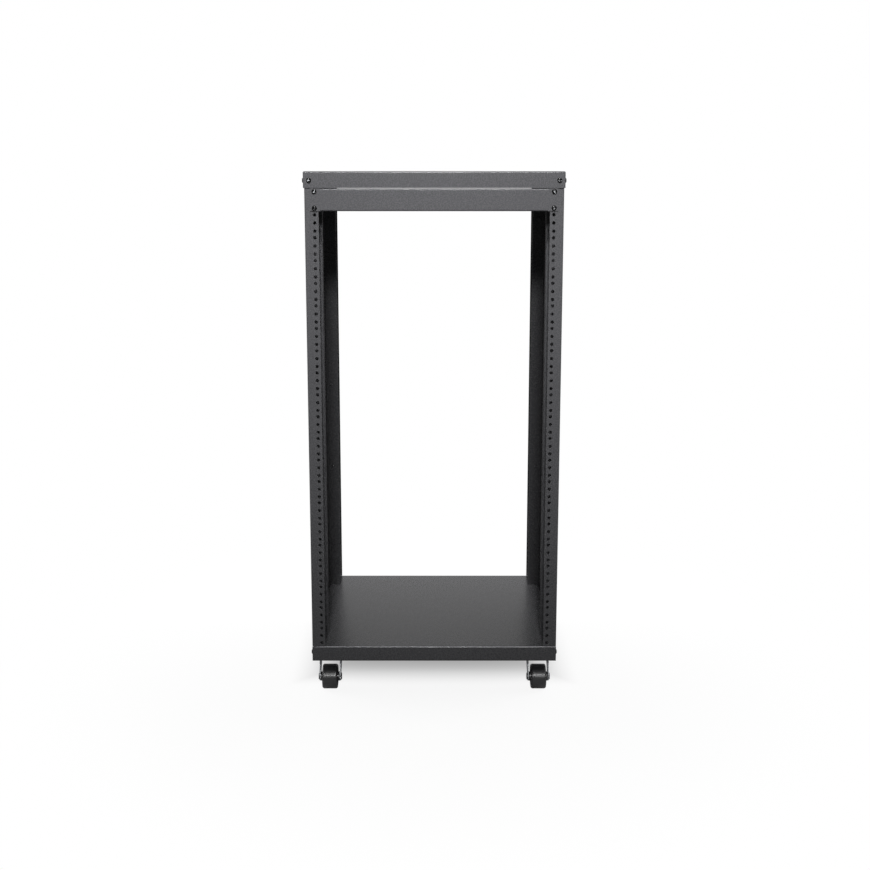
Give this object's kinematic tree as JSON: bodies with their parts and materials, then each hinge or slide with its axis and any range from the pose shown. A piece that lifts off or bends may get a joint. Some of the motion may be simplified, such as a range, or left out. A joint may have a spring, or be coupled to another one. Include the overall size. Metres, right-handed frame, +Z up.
{
  "type": "open-frame server rack on casters",
  "caption": "Free-standing 19-inch equipment rack on swivel casters: punched posts between a base tray and a lid, sheet sides, open front and back.",
  "frame": {"origin": "on the ground under the middle of the rack", "axes": "+X across the rack to its right, -Y out of its front, +Z up"},
  "size_m": [0.5084, 0.454, 1.0704],
  "materials": {
    "graphite_coat": "fine-textured dark graphite powder coat",
    "zinc_steel": "zinc plated",
    "black_steel": "blackened steel",
    "wheel_black": "satin black moulded wheel",
    "plug_grey": "light grey moulded plastic"
  },
  "bodies": {
    "frame": {"base_tray": "graphite_coat", "top_cover": "graphite_coat", "front_cross_panel": "graphite_coat", "front_caster_channel": "graphite_coat", "rear_caster_channel": "graphite_coat", "left_side_panel": "graphite_coat", "right_side_panel": "graphite_coat", "left_side_plug": "plug_grey", "right_side_plug": "plug_grey", "left_front_post": "graphite_coat", "left_front_caster_plate": "zinc_steel", "left_rear_post": "graphite_coat", "left_rear_caster_plate": "zinc_steel", "right_front_post": "graphite_coat", "right_front_caster_plate": "zinc_steel", "right_rear_post": "graphite_coat", "right_rear_caster_plate": "zinc_steel"},
    "left_front_swivel": {"left_front_fork": "zinc_steel", "left_front_axle": "black_steel"},
    "left_front_roll": {"left_front_wheel": "wheel_black"},
    "left_rear_swivel": {"left_rear_fork": "zinc_steel", "left_rear_axle": "black_steel"},
    "left_rear_roll": {"left_rear_wheel": "wheel_black"},
    "right_front_swivel": {"right_front_fork": "zinc_steel", "right_front_axle": "black_steel"},
    "right_front_roll": {"right_front_wheel": "wheel_black"},
    "right_rear_swivel": {"right_rear_fork": "zinc_steel", "right_rear_axle": "black_steel"},
    "right_rear_roll": {"right_rear_wheel": "wheel_black"}
  },
  "joints": [
    {"name": "left_front_swivel_turn", "type": "hinge", "parent": "frame", "child": "left_front_swivel", "pos_m": [-0.21835, -0.173, 0.071], "axis": [0, 0, 1], "continuous": true},
    {"name": "left_front_wheel_roll", "type": "hinge", "parent": "left_front_swivel", "child": "left_front_roll", "pos_m": [-0.21835, -0.195, 0.0254], "axis": [1, 0, 0], "continuous": true},
    {"name": "left_rear_swivel_turn", "type": "hinge", "parent": "frame", "child": "left_rear_swivel", "pos_m": [-0.21835, 0.173, 0.071], "axis": [0, 0, 1], "continuous": true},
    {"name": "left_rear_wheel_roll", "type": "hinge", "parent": "left_rear_swivel", "child": "left_rear_roll", "pos_m": [-0.21835, 0.151, 0.0254], "axis": [1, 0, 0], "continuous": true},
    {"name": "right_front_swivel_turn", "type": "hinge", "parent": "frame", "child": "right_front_swivel", "pos_m": [0.21835, -0.173, 0.071], "axis": [0, 0, 1], "continuous": true},
    {"name": "right_front_wheel_roll", "type": "hinge", "parent": "right_front_swivel", "child": "right_front_roll", "pos_m": [0.21835, -0.195, 0.0254], "axis": [1, 0, 0], "continuous": true},
    {"name": "right_rear_swivel_turn", "type": "hinge", "parent": "frame", "child": "right_rear_swivel", "pos_m": [0.21835, 0.173, 0.071], "axis": [0, 0, 1], "continuous": true},
    {"name": "right_rear_wheel_roll", "type": "hinge", "parent": "right_rear_swivel", "child": "right_rear_roll", "pos_m": [0.21835, 0.151, 0.0254], "axis": [1, 0, 0], "continuous": true}
  ]
}
